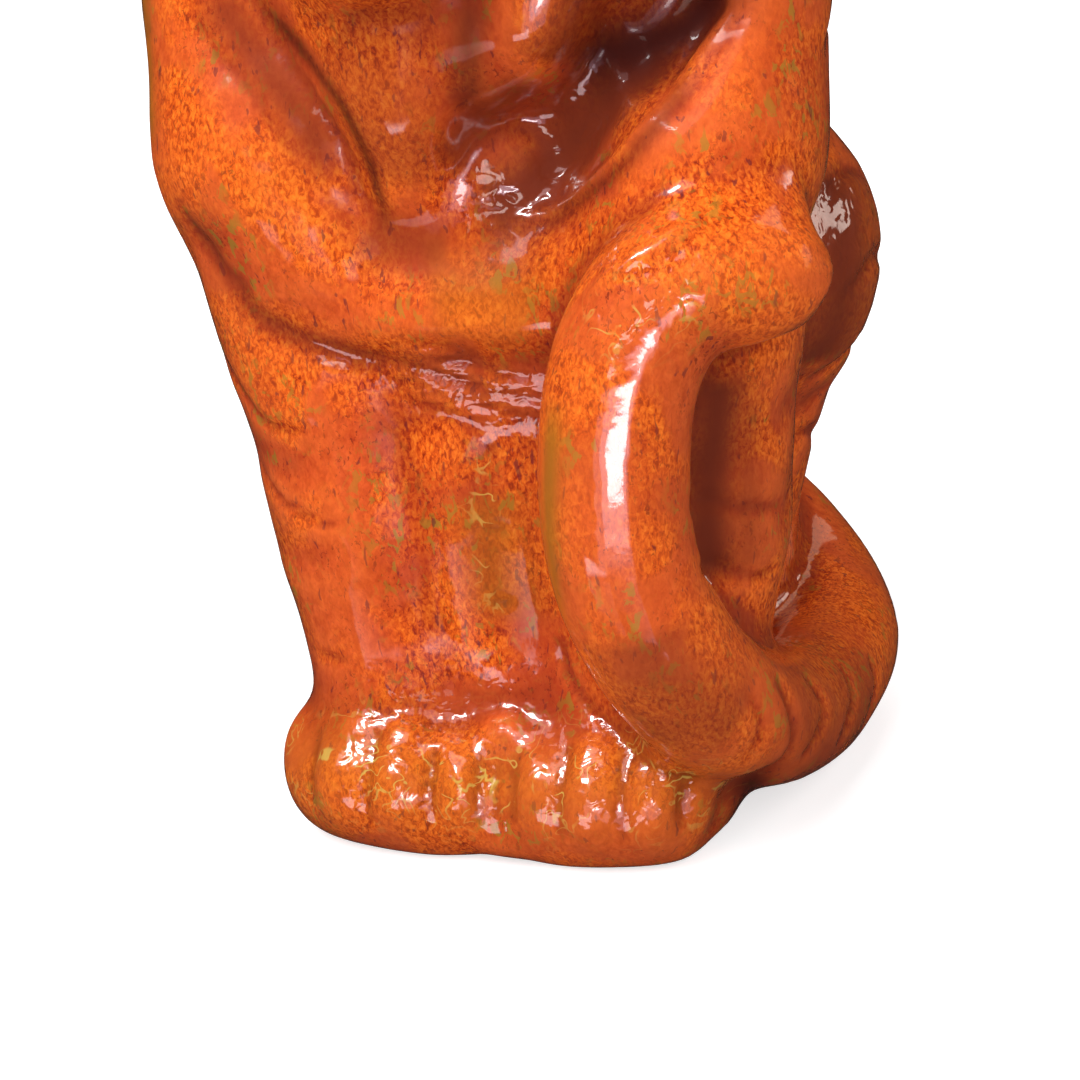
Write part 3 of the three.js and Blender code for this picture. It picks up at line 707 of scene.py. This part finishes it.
tiger.data.materials.clear()
tiger.data.materials.append(glaze)
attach(tiger, "root")
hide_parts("tiger")

# Camera
AZIMUTH = math.radians(22)
ELEVATION = math.radians(18)
ROLL = math.radians(5)
DISTANCE = 430 * MM
AIM = in_frame((3, -27, 45))
camera_data = bpy.data.cameras.new("camera")
camera_data.sensor_width = 36
camera_data.lens = 2800 / 1080 * 36
camera_data.clip_start = 0.01
camera = bpy.data.objects.new("camera", camera_data)
bpy.context.scene.collection.objects.link(camera)
towards_camera = Vector((math.sin(AZIMUTH) * math.cos(ELEVATION), -math.cos(AZIMUTH) * math.cos(ELEVATION),
                         math.sin(ELEVATION)))
camera.location = AIM + towards_camera * DISTANCE
camera.rotation_mode = "QUATERNION"
camera.rotation_quaternion = Quaternion(towards_camera, -ROLL) @ (-towards_camera).to_track_quat("-Z", "Y")
bpy.context.scene.camera = camera

# Floor and backdrop
bpy.ops.object.select_all(action="DESELECT")
bpy.ops.mesh.primitive_plane_add(size=6, location=(0, 0, 0))
floor = bpy.context.object
floor.name = "floor"
floor_paint = bpy.data.materials.new("floor")
floor_paint.use_nodes = True
nodes = floor_paint.node_tree.nodes
links = floor_paint.node_tree.links
floor_shader = nodes["Principled BSDF"]
floor_shader.inputs["Base Color"].default_value = (0.62, 0.62, 0.62, 1)
floor_shader.inputs["Specular IOR Level"].default_value = 0.0
floor_shader.inputs["Emission Color"].default_value = (1, 1, 1, 1)
from_middle = add_node("ShaderNodeVectorMath", {0: add_node("ShaderNodeTexCoord").outputs["Object"]},
                       operation="LENGTH").outputs["Value"]
paleness = calculate("ADD", calculate("MULTIPLY", between(from_middle, 0.05, 0.45), 0.32), 0.68)
seen = add_node("ShaderNodeLightPath").outputs["Is Camera Ray"]
links.new(calculate("MULTIPLY", paleness, seen), floor_shader.inputs["Emission Strength"])
floor.data.materials.append(floor_paint)
floor.visible_glossy = False

bpy.ops.object.select_all(action="DESELECT")
bpy.ops.mesh.primitive_uv_sphere_add(segments=48, ring_count=24, radius=2.9)
backdrop = bpy.context.object
backdrop.name = "backdrop"
backdrop_paint = bpy.data.materials.new("backdrop")
backdrop_paint.use_nodes = True
backdrop_shader = backdrop_paint.node_tree.nodes["Principled BSDF"]
backdrop_shader.inputs["Base Color"].default_value = (0, 0, 0, 1)
backdrop_shader.inputs["Specular IOR Level"].default_value = 0.0
backdrop_shader.inputs["Emission Color"].default_value = (1, 1, 1, 1)
backdrop_shader.inputs["Emission Strength"].default_value = 1.0
backdrop.data.materials.append(backdrop_paint)
backdrop.visible_glossy = False
backdrop.visible_diffuse = False
backdrop.visible_shadow = False

# Light
world = bpy.data.worlds.new("studio")
world.use_nodes = True
world.node_tree.nodes["Background"].inputs["Color"].default_value = (1, 0.95, 0.92, 1)
world.node_tree.nodes["Background"].inputs["Strength"].default_value = 0.02
bpy.context.scene.world = world


def hang_light(name, azimuth, elevation, distance, size, power, diffuse=True, glossy=True, colour=(1, 1, 1)):
    """Hangs a soft light around the figure, its azimuth counted from straight in front of it."""
    light = bpy.data.lights.new(name, "AREA")
    light.shape = "RECTANGLE"
    light.size, light.size_y = size
    light.energy = power
    light.color = colour
    lamp = bpy.data.objects.new(name, light)
    bpy.context.scene.collection.objects.link(lamp)
    azimuth, elevation = math.radians(azimuth), math.radians(elevation)
    towards = Vector((math.sin(azimuth) * math.cos(elevation), -math.cos(azimuth) * math.cos(elevation),
                      math.sin(elevation)))
    aim = Vector((0, 0, 0.07))
    lamp.location = aim + towards * distance
    lamp.rotation_mode = "QUATERNION"
    lamp.rotation_quaternion = (-towards).to_track_quat("-Z", "Y")
    lamp.visible_diffuse = diffuse
    lamp.visible_glossy = glossy


hang_light("soft key", -18, 48, 1.0, (0.8, 0.8), 12.4, glossy=False)
hang_light("soft light at the side", 84, 36, 1.1, (0.6, 0.6), 4.2, glossy=False)
hang_light("soft fill", 30, 22, 1.1, (0.6, 0.6), 3.2, glossy=False)
hang_light("low window", 19, -9, 0.5, (0.15, 0.05), 0.5, diffuse=False, colour=(1, 0.94, 0.97))
hang_light("glow round the low window", 17, -10, 0.52, (0.28, 0.13), 0.42, diffuse=False, colour=(1, 0.8, 0.92))
hang_light("wide glow", 13, -15, 0.54, (0.44, 0.26), 0.6, diffuse=False, colour=(1, 0.76, 0.95))
hang_light("soft back light", 195, 42, 1.1, (0.8, 0.8), 5.0, glossy=False)
hang_light("low wall at the left", -13, -28, 0.5, (0.22, 0.12), 0.5, diffuse=False, colour=(1, 0.82, 0.86))
hang_light("pale wall in front", 2, 9, 0.9, (0.24, 0.14), 0.8, diffuse=False, colour=(1, 0.86, 0.8))
hang_light("high window", -28, 48, 0.8, (0.30, 0.10), 5.0, diffuse=False)
hang_light("glow round the high window", -24, 50, 0.82, (0.62, 0.34), 2.2, diffuse=False, colour=(1, 0.8, 0.82))
hang_light("pale wall behind", 144, 52, 0.9, (0.5, 0.4), 1.4, diffuse=False, colour=(1, 0.66, 0.46))
hang_light("window at the side", 114, 16, 0.9, (0.34, 0.34), 2.3, diffuse=False, colour=(1, 0.85, 0.75))
bpy.context.scene.view_settings.view_transform = "Standard"
